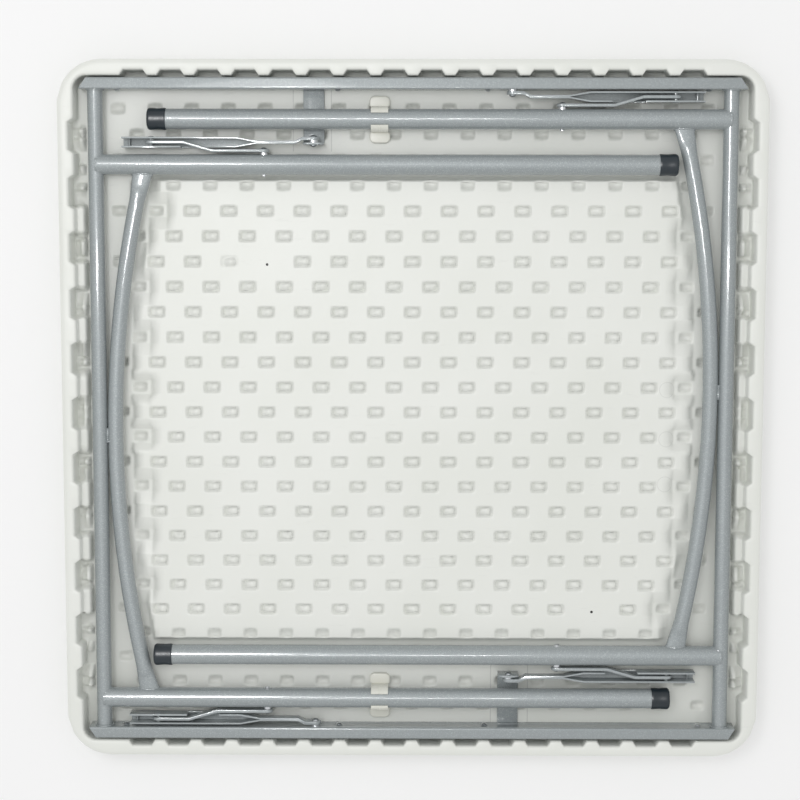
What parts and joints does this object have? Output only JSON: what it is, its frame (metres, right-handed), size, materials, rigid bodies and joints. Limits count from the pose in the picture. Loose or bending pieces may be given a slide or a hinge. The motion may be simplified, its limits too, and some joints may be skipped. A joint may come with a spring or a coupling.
{
  "type": "folding table",
  "caption": "Square folding table with a blow-moulded plastic top and two tubular steel leg frames folded flat into its underside, with jointed folding stays.",
  "frame": {"origin": "centre of the working surface, on which the folded table lies", "axes": "+Z out of the underside, towards the folded legs; X from one hinge tube to the other; Y from rail to rail"},
  "size_m": [0.87, 0.87, 0.045],
  "materials": {
    "moulded_plastic": "off-white blow-moulded polyethylene, fine matt grain",
    "powder_coat": "silver-grey powder coat with fine sparkle",
    "zinc_steel": "bright zinc-plated rivets and washers",
    "cap_rubber": "charcoal rubber foot caps, slightly glossy",
    "clip_plastic": "cream moulded plastic"
  },
  "bodies": {
    "top": {"leg_clip_back": "clip_plastic", "leg_clip_front": "clip_plastic", "rail_back": "powder_coat", "rail_front": "powder_coat", "rail_rivets": "zinc_steel", "stay_anchor_rivets": "zinc_steel", "stay_anchor_washers": "zinc_steel", "stay_bracket_back": "powder_coat", "stay_bracket_front": "powder_coat", "tabletop": "moulded_plastic"},
    "left_legs": {"left_brace": "powder_coat", "left_hinge_tube": "powder_coat", "left_inner_foot_cap": "cap_rubber", "left_inner_leg": "powder_coat", "left_leg_rivets": "zinc_steel", "left_outer_foot_cap": "cap_rubber", "left_outer_leg": "powder_coat"},
    "right_legs": {"right_brace": "powder_coat", "right_hinge_tube": "powder_coat", "right_inner_foot_cap": "cap_rubber", "right_inner_leg": "powder_coat", "right_leg_rivets": "zinc_steel", "right_outer_foot_cap": "cap_rubber", "right_outer_leg": "powder_coat"},
    "left_inner_upper_link": {"left_inner_stay_channel": "powder_coat", "left_inner_stay_stop_pin": "zinc_steel", "left_inner_stay_elbow_pin": "zinc_steel"},
    "left_inner_lower_link": {"left_inner_stay_bar": "powder_coat", "left_inner_stay_rivet_head": "zinc_steel"},
    "left_outer_upper_link": {"left_outer_stay_channel": "powder_coat", "left_outer_stay_stop_pin": "zinc_steel", "left_outer_stay_elbow_pin": "zinc_steel"},
    "left_outer_lower_link": {"left_outer_stay_bar": "powder_coat", "left_outer_stay_rivet_head": "zinc_steel"},
    "right_inner_upper_link": {"right_inner_stay_channel": "powder_coat", "right_inner_stay_stop_pin": "zinc_steel", "right_inner_stay_elbow_pin": "zinc_steel"},
    "right_inner_lower_link": {"right_inner_stay_bar": "powder_coat", "right_inner_stay_rivet_head": "zinc_steel"},
    "right_outer_upper_link": {"right_outer_stay_channel": "powder_coat", "right_outer_stay_stop_pin": "zinc_steel", "right_outer_stay_elbow_pin": "zinc_steel"},
    "right_outer_lower_link": {"right_outer_stay_bar": "powder_coat", "right_outer_stay_rivet_head": "zinc_steel"}
  },
  "joints": [
    {"name": "left_leg_fold", "type": "hinge", "parent": "top", "child": "left_legs", "pos_m": [-0.3897, 0, 0.0315], "axis": [0, -1, 0], "range_deg": [0, 90]},
    {"name": "right_leg_fold", "type": "hinge", "parent": "top", "child": "right_legs", "pos_m": [0.3897, 0, 0.0315], "axis": [0, 1, 0], "range_deg": [0, 90]},
    {"name": "left_inner_stay_anchor", "type": "hinge", "parent": "top", "child": "left_inner_upper_link", "pos_m": [-0.122, 0.3344, 0.0315], "axis": [0, 1, 0], "range_deg": [0, 37.7]},
    {"name": "left_inner_stay_elbow", "type": "hinge", "parent": "left_inner_upper_link", "child": "left_inner_lower_link", "pos_m": [-0.32161, 0.3344, 0.0315], "axis": [0, -1, 0], "range_deg": [0, 180]},
    {"name": "left_outer_stay_anchor", "type": "hinge", "parent": "top", "child": "left_outer_upper_link", "pos_m": [-0.122, -0.3898, 0.0315], "axis": [0, 1, 0], "range_deg": [0, 37.7]},
    {"name": "left_outer_stay_elbow", "type": "hinge", "parent": "left_outer_upper_link", "child": "left_outer_lower_link", "pos_m": [-0.32161, -0.3898, 0.0315], "axis": [0, -1, 0], "range_deg": [0, 180]},
    {"name": "right_inner_stay_anchor", "type": "hinge", "parent": "top", "child": "right_inner_upper_link", "pos_m": [0.122, -0.3344, 0.0315], "axis": [0, -1, 0], "range_deg": [0, 37.7]},
    {"name": "right_inner_stay_elbow", "type": "hinge", "parent": "right_inner_upper_link", "child": "right_inner_lower_link", "pos_m": [0.32161, -0.3344, 0.0315], "axis": [0, 1, 0], "range_deg": [0, 180]},
    {"name": "right_outer_stay_anchor", "type": "hinge", "parent": "top", "child": "right_outer_upper_link", "pos_m": [0.122, 0.3898, 0.0315], "axis": [0, -1, 0], "range_deg": [0, 37.7]},
    {"name": "right_outer_stay_elbow", "type": "hinge", "parent": "right_outer_upper_link", "child": "right_outer_lower_link", "pos_m": [0.32161, 0.3898, 0.0315], "axis": [0, 1, 0], "range_deg": [0, 180]}
  ],
  "couplings": [
    {"joint": "left_inner_stay_anchor", "follows": "left_leg_fold", "ratio": 0.41859},
    {"joint": "left_inner_stay_elbow", "follows": "left_leg_fold", "ratio": 2},
    {"joint": "left_outer_stay_anchor", "follows": "left_leg_fold", "ratio": 0.41859},
    {"joint": "left_outer_stay_elbow", "follows": "left_leg_fold", "ratio": 2},
    {"joint": "right_inner_stay_anchor", "follows": "right_leg_fold", "ratio": 0.41859},
    {"joint": "right_inner_stay_elbow", "follows": "right_leg_fold", "ratio": 2},
    {"joint": "right_outer_stay_anchor", "follows": "right_leg_fold", "ratio": 0.41859},
    {"joint": "right_outer_stay_elbow", "follows": "right_leg_fold", "ratio": 2}
  ]
}
